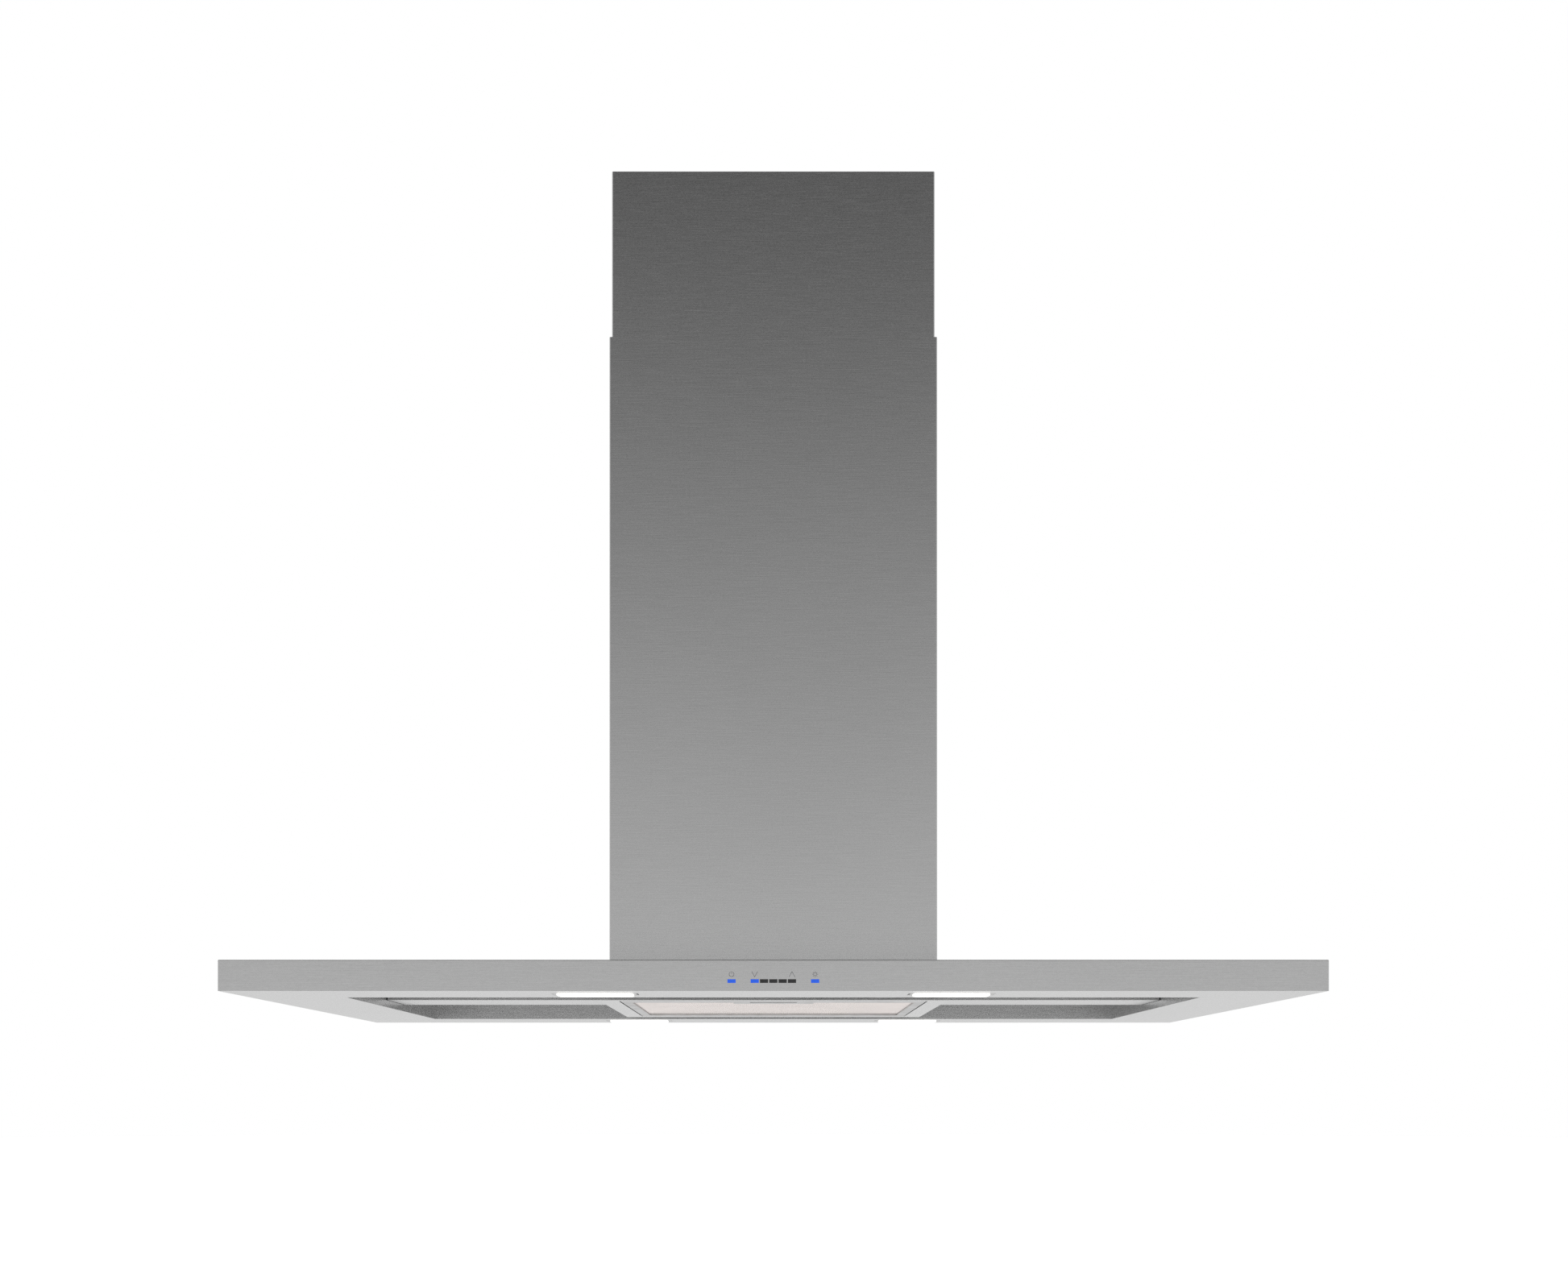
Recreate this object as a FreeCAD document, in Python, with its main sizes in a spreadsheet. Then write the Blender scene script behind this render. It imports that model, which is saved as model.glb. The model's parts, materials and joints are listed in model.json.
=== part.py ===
import FreeCAD, Part
import math
import os
import re
import Sketcher

# An island range hood, hung from a ceiling. The origin is the middle of the ceiling plate's top face,
# X runs along the canopy, Y from the control side to the far side, and Z up.

# ---------------------------------------------------------------- driving sizes, in millimetres

VOLUME_SLACK = 1e-3     # mm3, least volume that a cut has to take away
SAME_PLACE = 1e-6       # mm
NEAR_PLACE = 1e-3       # mm

SIZES = {
    # the whole hood
    "overall_height": 888,          # ceiling to the underside of the canopy
    "canopy_width": 1067,
    "canopy_depth": 632,
    "canopy_height": 30,
    "canopy_sheet": 1,
    "canopy_corner": 0.8,           # radius of the canopy's upright and upper edges
    "rim_width": 98.5,              # flat band round the recess
    "air_hole_width": 290,          # hole in the top sheet, under the blower
    "air_hole_depth": 226,
    # filter carrier and stiffeners in the recess
    "carrier_width": 367,
    "carrier_depth": 346,
    "carrier_sheet": 1,
    "carrier_lip": 12,              # height of the walls round the filter
    "rail_width": 91,
    "rail_lift": 8,                 # rail underside above the rim
    "rail_gap": 1,
    # filter
    "filter_width": 324,
    "filter_depth": 303,
    "filter_thick": 9,
    "filter_gap": 1.5,
    "filter_side": 10.5,            # frame border at the sides
    "filter_end": 23.5,             # frame border at the front and rear
    "mesh_inset": 1.2,
    "mesh_gap": 0.1,
    "hinge_pin_radius": 2,
    "hinge_inset": 2.5,             # hinge axis from the filter's rear and lower faces
    "running_gap": 0.05,
    # filter latch
    "latch_width": 64,
    "latch_depth": 16,
    "latch_thick": 3,
    "latch_inset": 0.8,
    "latch_travel": 4,
    "latch_gap": 0.4,
    "latch_tab_width": 86,
    "latch_tab_depth": 20,
    "tongue_width": 16,
    "tongue_thick": 2,
    "tongue_short": 0.3,            # the tongue's tip stops this far before the carrier's wall
    "latch_skin": 0.6,
    "finger_width": 50,
    "finger_depth": 12,
    "grip_depth": 2,
    "spring_wire": 0.5,
    "spring_radius": 1.2,
    "spring_length": 11.6,
    "spring_pitch": 1.6,
    "spring_bore": 1.8,
    "spring_offset": 20,
    "cut_past": 1,
    "cut_sliver": 0.1,
    "screw_pad": 15,
    "collar_ledge": 1.5,
    "pin_seat": 0.4,
    "lid_skirt": 8,
    "gland_shoulder": 3,
    # lamps
    "lamp_spacing": 352,
    "bezel_length": 85,
    "bezel_width": 36,
    "bezel_corner": 5,
    "bezel_height": 10,
    "bezel_flange": 3,
    "bezel_flange_thick": 1.5,
    "bezel_gap": 0.2,
    "lens_length": 75,
    "lens_width": 26,
    "lens_corner": 4,
    "lens_thick": 2.5,
    "lens_proud": 1.8,
    "lens_rounding": 1,
    "lens_gap": 0.1,
    "lamp_board_thick": 1.6,
    # controls in the front face
    "window_width": 7.7,
    "window_height": 3.4,
    "window_rise": 9.5,             # window middle above the rim
    "window_gap": 0.1,
    "window_proud": 0.15,
    "window_back": 3,
    "speed_pitch": 8.95,
    "power_offset": 40.1,
    "control_board_width": 112,
    "control_board_height": 22,
    "control_board_thick": 1.6,
    # chimney covers
    "cover_width": 350,
    "cover_depth": 280,
    "cover_sheet": 0.8,
    "cover_corner": 1.5,
    "cover_gap": 1.7,
    "lower_cover_height": 680,
    "upper_cover_height": 480,
    # hanging frame
    "ceiling_plate_thick": 3,
    "ceiling_flange": 30,
    "ceiling_flange_sheet": 2,
    "plate_gap": 0.1,
    "duct_hole_radius": 100,
    "ceiling_bolt_spacing_x": 260,
    "ceiling_bolt_spacing_y": 210,
    "ceiling_bolt_radius": 4.5,
    "post_leg": 25,
    "post_sheet": 1.5,
    "post_gap": 0.3,
    "lower_post_height": 450,
    "upper_post_length": 625,
    "foot_width": 17,
    "foot_depth": 14,
    "frame_band": 25,
    "lower_band_rise": 170,
    "upper_band_drop": 300,
    "height_bolt_rise": 410,        # above the canopy's top
    "slot_up": 25,
    "slot_down": 165,
    "bolt_radius": 2.5,
    "bolt_head_radius": 4.5,
    "bolt_head": 3,
    "bolt_gap": 0.1,
    # blower
    "box_width": 300,
    "box_depth": 236,
    "box_height": 300,
    "box_sheet": 1,
    "box_flange": 12,
    "fan_offset": 14,
    "fan_rise": 110,                # fan axis above the canopy's top
    "fan_radius": 65,
    "fan_width": 120,
    "fan_blade_depth": 12,
    "fan_blade_thick": 1.2,
    "fan_blades": 32,
    "fan_disc_thick": 3,
    "scroll_start": 78,             # radius of the scroll's first quarter
    "scroll_step": 14,              # growth of the radius from quarter to quarter
    "scroll_wall": 2,
    "scroll_width": 132,
    "scroll_neck": 115,             # straight outlet, above the fan axis
    "inlet_radius": 55,
    "inlet_lip": 8,
    "motor_radius": 40,
    "motor_length": 80,
    "motor_start": 12,              # motor front, from the middle of the fan
    "shaft_radius": 4,
    "hub_radius": 10,
    "bracket_thick": 3,
    "bracket_arm_width": 12,
    # outlet
    "funnel_top": 156,
    "collar_radius": 75,
    "collar_sheet": 1,
    "collar_height": 60,
    "collar_flange": 15,
    "flap_rise": 16,
    "flap_thick": 1,
    "flap_gap": 0.5,
    "flap_pin_radius": 1.5,
    "flap_pin_offset": 4,
    "flap_barrel_radius": 2.8,
    # electrics
    "electronics_width": 50,
    "electronics_length": 160,
    "electronics_height": 42,
    "electronics_sheet": 1,
    "electronics_offset": 121,
    "gland_radius": 10,
    "gland_bore": 5,
    "gland_height": 14,
    "capacitor_radius": 17,
    "capacitor_length": 70,
    # screws of the upper cover
    "cover_screw_radius": 2,
    "cover_screw_head_radius": 3.5,
    "cover_screw_head": 1.2,
    "cover_screw_drop": 14,
    "cover_screw_spacing": 180,
}

# Places and sizes that follow from the driving ones.
PLACES = {
    "rim_plane": "0 - overall_height",
    "canopy_top": "rim_plane + canopy_height",
    "roof": "canopy_top - canopy_sheet",
    "recess_half_width": "canopy_width / 2 - rim_width",
    "recess_half_depth": "canopy_depth / 2 - rim_width",
    "carrier_hole_half_width": "filter_width / 2 + filter_gap",
    "carrier_hole_half_depth": "filter_depth / 2 + filter_gap",
    "hinge_place": "filter_depth / 2 - hinge_inset",
    "lamp_place": "canopy_depth / 2 - rim_width / 2",
    "upper_cover_width": "cover_width - 2 * cover_sheet - 2 * cover_gap",
    "upper_cover_depth": "cover_depth - 2 * cover_sheet - 2 * cover_gap",
    "frame_half_width": "upper_cover_width / 2 - cover_sheet - cover_gap",
    "frame_half_depth": "upper_cover_depth / 2 - cover_sheet - cover_gap",
    "nested_half_width": "frame_half_width - post_sheet - post_gap",
    "nested_half_depth": "frame_half_depth - post_sheet - post_gap",
    "foot_bolt_across": "frame_half_width - post_sheet - foot_width / 2",
    "foot_bolt_along": "frame_half_depth - post_sheet - foot_depth / 2",
    "slot_middle": "nested_half_width - post_leg / 2",
    "height_bolt_level": "canopy_top + height_bolt_rise",
    "box_top": "canopy_top + box_height",
    "fan_level": "canopy_top + fan_rise",
    "neck_top": "fan_level + scroll_neck",
    "scroll_reach": "scroll_start + 5 * scroll_step / 2",
    "tongue_top": "rim_plane + latch_inset + latch_thick",
    "tongue_bottom": "tongue_top - tongue_thick",
    "latch_front": "mesh_front - 3 * latch_depth / 4",
    "latch_rear": "latch_front + latch_depth",
    "cavity_rear": "latch_rear + latch_travel + 2 * latch_gap",
    "spring_level": "rim_plane + latch_inset + latch_thick / 2",
    "plate_half_width": "upper_cover_width / 2 - cover_sheet - plate_gap",
    "plate_half_depth": "upper_cover_depth / 2 - cover_sheet - plate_gap",
    "mesh_front": "0 - filter_depth / 2 + filter_end",
    "flap_level": "box_top + flap_rise",
    "collar_bore": "collar_radius - collar_sheet",
}

doc = FreeCAD.newDocument("island_hood")
sheet = doc.addObject("Spreadsheet::Sheet", "dims")
for row, (alias, size) in enumerate(SIZES.items(), start=1):
    sheet.set(f"A{row}", alias.replace("_", " "))
    sheet.set(f"B{row}", str(size))
    sheet.setAlias(f"B{row}", alias)
doc.recompute()

parts = []
WORD = re.compile(r"[a-z][a-z_]+")


def bound(text):
    """An expression on the sheet, with each named place in it worked out to driving sizes."""
    def spelled(match):
        word = match.group()
        if word in PLACES:
            return "(" + bound(PLACES[word]) + ")"
        return "dims." + word if word in SIZES else word
    return WORD.sub(spelled, str(text))


def value(text):
    """The number that an expression comes to."""
    return float(sheet.evalExpression(bound(text)))


def node(label, shape_object):
    """Names a finished sub-part."""
    shape_object.Label = label
    parts.append(shape_object)
    return shape_object


def span(side, near, far):
    """Low and high ends of a stretch from near to far, on one side of the middle."""
    return (near, far) if side > 0 else (f"0 - ({far})", f"0 - ({near})")


def across(half, middle="0"):
    """Low and high ends of a stretch that reaches as far each way from its middle."""
    return (f"{middle} - ({half})", f"{middle} + ({half})")


def place(shape_object, x="0", y="0", z="0"):
    """Ties where an object stands to the sheet."""
    for axis, text in zip("xyz", (x, y, z)):
        shape_object.setExpression(f"Placement.Base.{axis}", bound(text))
    return shape_object


# ---------------------------------------------------------------- solids from primitives

def block(name, x, y, z):
    """A box between low and high ends along each axis."""
    box = doc.addObject("Part::Box", name)
    for side, (low, high) in zip(("Length", "Width", "Height"), (x, y, z)):
        box.setExpression(side, bound(f"({high}) - ({low})"))
    return place(box, x[0], y[0], z[0])


TURNS = {
    "x": FreeCAD.Rotation(FreeCAD.Vector(0, 1, 0), 90),
    "y": FreeCAD.Rotation(FreeCAD.Vector(1, 0, 0), -90),
    "z": FreeCAD.Rotation(),
}


def rod(name, radius, axis, ends, middle):
    """A round bar along an axis between two ends. middle is its place on the two other axes."""
    bar = doc.addObject("Part::Cylinder", name)
    bar.setExpression("Radius", bound(radius))
    bar.setExpression("Height", bound(f"({ends[1]}) - ({ends[0]})"))
    bar.Placement = FreeCAD.Placement(FreeCAD.Vector(), TURNS[axis])
    start = list(middle)
    start.insert("xyz".index(axis), ends[0])
    return place(bar, *start)


def fused(name, *solids):
    """One solid from several that touch."""
    union = doc.addObject("Part::MultiFuse", name)
    union.Shapes = list(solids)
    union.Refine = True
    return union


def cut(name, base, *tools):
    """A solid with others taken out of it."""
    rest = doc.addObject("Part::Cut", name)
    rest.Base = base
    rest.Tool = tools[0] if len(tools) == 1 else fused(name + "_tools", *tools)
    return rest


def group(name, *solids):
    """Separate solids that make one node."""
    several = doc.addObject("Part::Compound", name)
    several.Links = list(solids)
    return several


# ---------------------------------------------------------------- solids from sketches

def new_body(name):
    return doc.addObject("PartDesign::Body", name)


def origin_of(body, role):
    """The body's own origin plane or axis of that role."""
    return [item for item in body.Origin.OriginFeatures if item.Role == role][0]


def new_sketch(body, role, height="0"):
    """An empty sketch on an origin plane, moved along the plane's normal."""
    drawing = body.newObject("Sketcher::SketchObject", body.Name + "_sketch")
    drawing.AttachmentSupport = [(origin_of(body, role), "")]
    drawing.MapMode = "FlatFace"
    drawing.setExpression("AttachmentOffset.Base.z", bound(height))
    return drawing


def tie(drawing, constraint, text):
    """Adds a dimension to a sketch and binds it to the sheet."""
    number = drawing.addConstraint(constraint)
    drawing.setExpression(f"Constraints[{number}]", bound(text))


def draw_polygon(drawing, corners):
    """A closed outline of straight lines through corners, each given by two expressions."""
    first = drawing.GeometryCount
    count = len(corners)
    places = [FreeCAD.Vector(value(across_), value(along), 0) for across_, along in corners]
    for index in range(count):
        drawing.addGeometry(Part.LineSegment(places[index], places[(index + 1) % count]))
    for index, (across_, along) in enumerate(corners):
        following = first + (index + 1) % count
        drawing.addConstraint(Sketcher.Constraint("Coincident", first + index, 2, following, 1))
        corner = places[index]
        tie(drawing, Sketcher.Constraint("DistanceX", -1, 1, first + index, 1, corner.x), across_)
        tie(drawing, Sketcher.Constraint("DistanceY", -1, 1, first + index, 1, corner.y), along)


def draw_rectangle(drawing, x, y):
    draw_polygon(drawing, [(x[0], y[0]), (x[1], y[0]), (x[1], y[1]), (x[0], y[1])])


def draw_circle(drawing, radius, across_="0", along="0"):
    middle = FreeCAD.Vector(value(across_), value(along), 0)
    ring = drawing.addGeometry(Part.Circle(middle, FreeCAD.Vector(0, 0, 1), value(radius)))
    tie(drawing, Sketcher.Constraint("DistanceX", -1, 1, ring, 3, middle.x), across_)
    tie(drawing, Sketcher.Constraint("DistanceY", -1, 1, ring, 3, middle.y), along)
    tie(drawing, Sketcher.Constraint("Radius", ring, value(radius)), radius)


def draw_rounded(drawing, length, width, corner, across_="0", along="0"):
    """A rectangle with round corners, lying along the sketch's first axis."""
    radius = value(corner)
    arcs = []
    centres = []
    for quarter_turn, (side_x, side_y) in enumerate(((1, 1), (-1, 1), (-1, -1), (1, -1))):
        texts = (f"{across_} + {side_x} * (({length}) / 2 - ({corner}))",
                 f"{along} + {side_y} * (({width}) / 2 - ({corner}))")
        centre = FreeCAD.Vector(value(texts[0]), value(texts[1]), 0)
        start = quarter_turn * math.pi / 2
        circle = Part.Circle(centre, FreeCAD.Vector(0, 0, 1), radius)
        arcs.append(drawing.addGeometry(Part.ArcOfCircle(circle, start, start + math.pi / 2)))
        centres.append((centre, texts))
    for index, arc in enumerate(arcs):
        following = arcs[(index + 1) % len(arcs)]
        line = drawing.addGeometry(Part.LineSegment(drawing.Geometry[arc].EndPoint,
                                                    drawing.Geometry[following].StartPoint))
        drawing.addConstraint(Sketcher.Constraint("Tangent", arc, 2, line, 1))
        drawing.addConstraint(Sketcher.Constraint("Tangent", line, 2, following, 1))
    for arc, (centre, texts) in zip(arcs, centres):
        tie(drawing, Sketcher.Constraint("DistanceX", -1, 1, arc, 3, centre.x), texts[0])
        tie(drawing, Sketcher.Constraint("DistanceY", -1, 1, arc, 3, centre.y), texts[1])
        tie(drawing, Sketcher.Constraint("Radius", arc, radius), corner)


def pad(body, drawing, length, reverse=False, both_ways=False):
    solid = body.newObject("PartDesign::Pad", body.Name + "_pad")
    solid.Profile = drawing
    solid.Length = value(length)
    solid.setExpression("Length", bound(length))
    solid.Reversed = reverse
    if both_ways:
        solid.SideType = "Symmetric"
    return solid


def pocket(body, drawing, length, reverse=False):
    """Cuts a sketch into the body, and makes sure that it takes something away."""
    doc.recompute()
    before = body.Shape.Volume
    hollow = body.newObject("PartDesign::Pocket", body.Name + "_pocket")
    hollow.Profile = drawing
    hollow.Length = value(length)
    hollow.setExpression("Length", bound(length))
    hollow.Reversed = reverse
    doc.recompute()
    if body.Shape.Volume > before - VOLUME_SLACK:
        raise RuntimeError(f"{body.Name}: a pocket cuts nothing")
    return hollow


def round_edges(body, base, radius, top_too=False):
    """Rounds the outline's upright edges, and with top_too the edges round its top face."""
    doc.recompute()
    floor = base.Shape.BoundBox.ZMin
    names = []
    for number, edge in enumerate(base.Shape.Edges, start=1):
        low, high = (vertex.Point.z for vertex in edge.Vertexes)
        upright = abs(low - high) > SAME_PLACE
        at_top = not upright and low > floor + SAME_PLACE
        if upright or (at_top and top_too):
            names.append(f"Edge{number}")
    rounding = body.newObject("PartDesign::Fillet", body.Name + "_rounding")
    rounding.Base = (base, names)
    rounding.Radius = value(radius)
    rounding.setExpression("Radius", bound(radius))
    return rounding


def round_face(body, base, radius):
    """Rounds the edges round a solid's lowest face."""
    doc.recompute()
    floor = base.Shape.BoundBox.ZMin
    names = [f"Edge{number}" for number, edge in enumerate(base.Shape.Edges, start=1)
             if edge.BoundBox.ZMax < floor + NEAR_PLACE]
    rounding = body.newObject("PartDesign::Fillet", body.Name + "_rounding")
    rounding.Base = (base, names)
    rounding.Radius = value(radius)
    rounding.setExpression("Radius", bound(radius))
    return rounding


# ---------------------------------------------------------------- canopy

def foot_bolt_places():
    return [(f"{side_x} * foot_bolt_across", f"{side_y} * foot_bolt_along")
            for side_x in (-1, 1) for side_y in (-1, 1)]


WINDOWS = {
    "indicator_power": "0 - power_offset",
    "indicator_speed_1": "-2 * speed_pitch",
    "indicator_speed_2": "0 - speed_pitch",
    "indicator_speed_3": "0",
    "indicator_speed_4": "speed_pitch",
    "indicator_speed_5": "2 * speed_pitch",
    "indicator_light": "power_offset",
}


def make_canopy_shell():
    """The outer tray: top and four sides of one sheet, open below."""
    body = new_body("canopy_shell")
    outline = new_sketch(body, "XY_Plane", "rim_plane")
    draw_rectangle(outline, across("canopy_width / 2"), across("canopy_depth / 2"))
    blank = pad(body, outline, "canopy_height")
    round_edges(body, blank, "canopy_corner", top_too=True)
    hollow = new_sketch(body, "XY_Plane", "rim_plane")
    draw_rectangle(hollow, across("canopy_width / 2 - canopy_sheet"),
                   across("canopy_depth / 2 - canopy_sheet"))
    pocket(body, hollow, "canopy_height - canopy_sheet", reverse=True)
    openings = new_sketch(body, "XY_Plane", "canopy_top")
    draw_rectangle(openings, across("air_hole_width / 2"), across("air_hole_depth / 2"))
    for x, y in foot_bolt_places():
        draw_circle(openings, "bolt_radius + bolt_gap", x, y)
    pocket(body, openings, "2 * canopy_sheet")
    slits = new_sketch(body, "XZ_Plane", "canopy_depth / 2")
    for middle in WINDOWS.values():
        draw_rectangle(slits, across("window_width / 2 + window_gap", middle),
                       across("window_height / 2 + window_gap", "rim_plane + window_rise"))
    pocket(body, slits, "2 * canopy_sheet")
    node("canopy_shell", body)


LAMPS = {
    "front_left": ("0 - lamp_spacing / 2", "0 - lamp_place"),
    "front_right": ("lamp_spacing / 2", "0 - lamp_place"),
    "rear_left": ("0 - lamp_spacing / 2", "lamp_place"),
    "rear_right": ("lamp_spacing / 2", "lamp_place"),
}


def make_rim_panel():
    """The flat band under the canopy, with a wall round the recess up to the top sheet."""
    body = new_body("rim_panel")
    band = new_sketch(body, "XY_Plane", "rim_plane")
    draw_rectangle(band, across("canopy_width / 2 - canopy_sheet"),
                   across("canopy_depth / 2 - canopy_sheet"))
    draw_rectangle(band, across("recess_half_width"), across("recess_half_depth"))
    for x, y in LAMPS.values():
        draw_rounded(band, "bezel_length + 2 * bezel_gap", "bezel_width + 2 * bezel_gap",
                     "bezel_corner + bezel_gap", x, y)
    pad(body, band, "canopy_sheet")
    wall = new_sketch(body, "XY_Plane", "rim_plane + canopy_sheet")
    draw_rectangle(wall, across("recess_half_width + canopy_sheet"),
                   across("recess_half_depth + canopy_sheet"))
    draw_rectangle(wall, across("recess_half_width"), across("recess_half_depth"))
    pad(body, wall, "canopy_height - 2 * canopy_sheet")
    node("rim_panel", body)


def ring_block(name, half_x, half_y, wall, z):
    """A rectangular ring of a wall's thickness, measured inwards from its outer half sizes."""
    return cut(name, block(name + "_outside", across(half_x), across(half_y), z),
               block(name + "_inside", across(f"{half_x} - ({wall})"), across(f"{half_y} - ({wall})"), z))


def make_filter_carrier():
    """The box in the middle of the recess that the filter swings into."""
    plate = cut("carrier_plate",
                block("carrier_sheet_blank", across("carrier_width / 2"), across("carrier_depth / 2"),
                      ("rim_plane", "rim_plane + carrier_sheet")),
                block("carrier_sheet_hole", across("carrier_hole_half_width"),
                      across("carrier_hole_half_depth"), ("rim_plane", "rim_plane + carrier_sheet")))
    outside = ring_block("carrier_outer_wall", "carrier_width / 2", "carrier_depth / 2", "carrier_sheet",
                         ("rim_plane + carrier_sheet", "roof"))
    inside = ring_block("carrier_inner_wall", "carrier_hole_half_width + carrier_sheet",
                        "carrier_hole_half_depth + carrier_sheet", "carrier_sheet",
                        ("rim_plane + carrier_sheet", "rim_plane + carrier_lip"))
    stops = [block("filter_stop", span(side, "carrier_hole_half_width - filter_gap - 3",
                                       "carrier_hole_half_width"),
                   across("filter_depth / 3"),
                   ("rim_plane + filter_thick + post_gap", "rim_plane + filter_thick + post_gap + carrier_sheet"))
             for side in (-1, 1)]
    bores = [rod("hinge_bore", "hinge_pin_radius + running_gap", "x",
                 span(side, "carrier_hole_half_width - 1", "carrier_hole_half_width + 2 * carrier_sheet"),
                 ("hinge_place", "rim_plane + hinge_inset"))
             for side in (-1, 1)]
    strike = block("strike_slot", across("tongue_width / 2 + latch_gap"),
                   ("0 - carrier_hole_half_depth - 2 * carrier_sheet", "0 - carrier_hole_half_depth + 1"),
                   ("tongue_bottom - latch_gap", "tongue_top + latch_gap"))
    shell = fused("carrier_blank", plate, outside, inside, *stops)
    node("filter_carrier", cut("carrier", shell, strike, *bores))


def make_rail(label, side):
    """A hat-shaped stiffener from the carrier to the recess wall, closed at its far end."""
    ends = span(side, "carrier_width / 2", "recess_half_width - rail_gap")
    inside = span(side, "carrier_width / 2 + canopy_sheet", "recess_half_width - rail_gap - canopy_sheet")
    outer = block(label + "_blank", ends, across("rail_width / 2"), ("rim_plane + rail_lift", "roof"))
    inner = block(label + "_hollow", inside, across("rail_width / 2 - canopy_sheet"),
                  ("rim_plane + rail_lift + canopy_sheet", "roof"))
    node(label, cut(label + "_tray", outer, inner))


# ---------------------------------------------------------------- lamps and controls

def make_lamp(corner, x, y):
    """A recessed lamp cup with its flange behind the rim, and the raised diffuser in its mouth."""
    body = new_body("lamp_bezel_" + corner)
    cup = new_sketch(body, "XY_Plane")
    draw_rounded(cup, "bezel_length", "bezel_width", "bezel_corner")
    pad(body, cup, "bezel_height")
    flange = new_sketch(body, "XY_Plane", "canopy_sheet")
    draw_rounded(flange, "bezel_length + 2 * bezel_flange", "bezel_width + 2 * bezel_flange",
                 "bezel_corner + bezel_flange")
    pad(body, flange, "bezel_flange_thick")
    mouth = new_sketch(body, "XY_Plane")
    draw_rounded(mouth, "lens_length", "lens_width", "lens_corner")
    pocket(body, mouth, "bezel_height - canopy_sheet", reverse=True)
    node("lamp_bezel_" + corner, place(body, x, y, "rim_plane"))

    lens = new_body("lamp_lens_" + corner)
    outline = new_sketch(lens, "XY_Plane", "lens_thick")
    draw_rounded(outline, "lens_length - 2 * lens_gap", "lens_width - 2 * lens_gap",
                 "lens_corner - lens_gap")
    slab = pad(lens, outline, "lens_thick + lens_proud", reverse=True)
    round_face(lens, slab, "lens_rounding")
    node("lamp_lens_" + corner, place(lens, x, y, "rim_plane"))


def make_lamp_boards():
    top = "rim_plane + bezel_height - canopy_sheet"
    boards = [block("lamp_board", across("lens_length / 2 - lens_corner", x),
                    across("lens_width / 3", y), (f"{top} - lamp_board_thick", top))
              for x, y in LAMPS.values()]
    node("lamp_boards", group("lamp_board_set", *boards))


def make_controls():
    """Light windows in the front face, and the board that they sit on."""
    front = "0 - canopy_depth / 2"
    for label, middle in WINDOWS.items():
        window = block(label + "_face", across("window_width / 2", middle),
                       (f"{front} - window_proud", f"{front} + canopy_sheet + window_back"),
                       across("window_height / 2", "rim_plane + window_rise"))
        shoulder = block(label + "_shoulder", across("window_width / 2 + 4 * window_gap", middle),
                         (f"{front} + canopy_sheet", f"{front} + 2 * canopy_sheet"),
                         across("window_height / 2 + 1", "rim_plane + window_rise"))
        node(label, fused(label + "_piece", window, shoulder))
    board_low = "rim_plane + (canopy_height - control_board_height) / 2"
    board_front = f"{front} + canopy_sheet + window_back"
    node("control_board", block("touch_board", across("control_board_width / 2"),
                                (board_front, f"{board_front} + control_board_thick"),
                                (board_low, f"{board_low} + control_board_height")))


# ---------------------------------------------------------------- filter

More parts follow.
